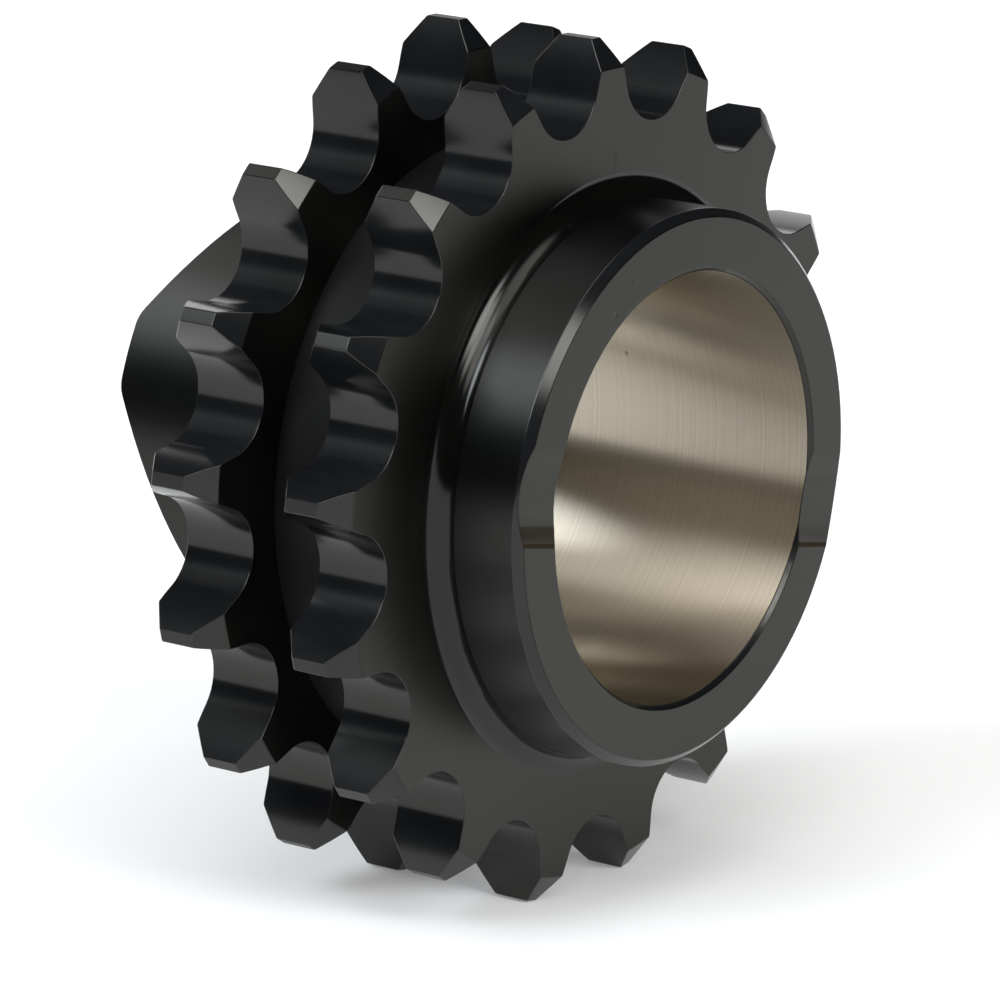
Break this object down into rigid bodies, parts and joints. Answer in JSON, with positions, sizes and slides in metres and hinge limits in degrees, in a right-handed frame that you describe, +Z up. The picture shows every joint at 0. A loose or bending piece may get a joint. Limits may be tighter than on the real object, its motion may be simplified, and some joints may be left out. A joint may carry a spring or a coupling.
{
  "type": "duplex chain sprocket",
  "caption": "Duplex roller chain sprocket of solid steel, with a short plain hub in front, a plain round bore and a face cam with sloping lobes behind.",
  "frame": {"origin": "on the axis of the bore, midway between the two rows of teeth", "axes": "+Y along the axis from the plain front hub to the cam; +Z up, through a tooth of each row; +X to the right seen from the front hub"},
  "size_m": [0.0742, 0.0412, 0.0739],
  "materials": {
    "steel": "oil blackened, turned side faces, ground bore"
  },
  "bodies": {
    "root": {"sprocket": "steel"}
  },
  "joints": []
}
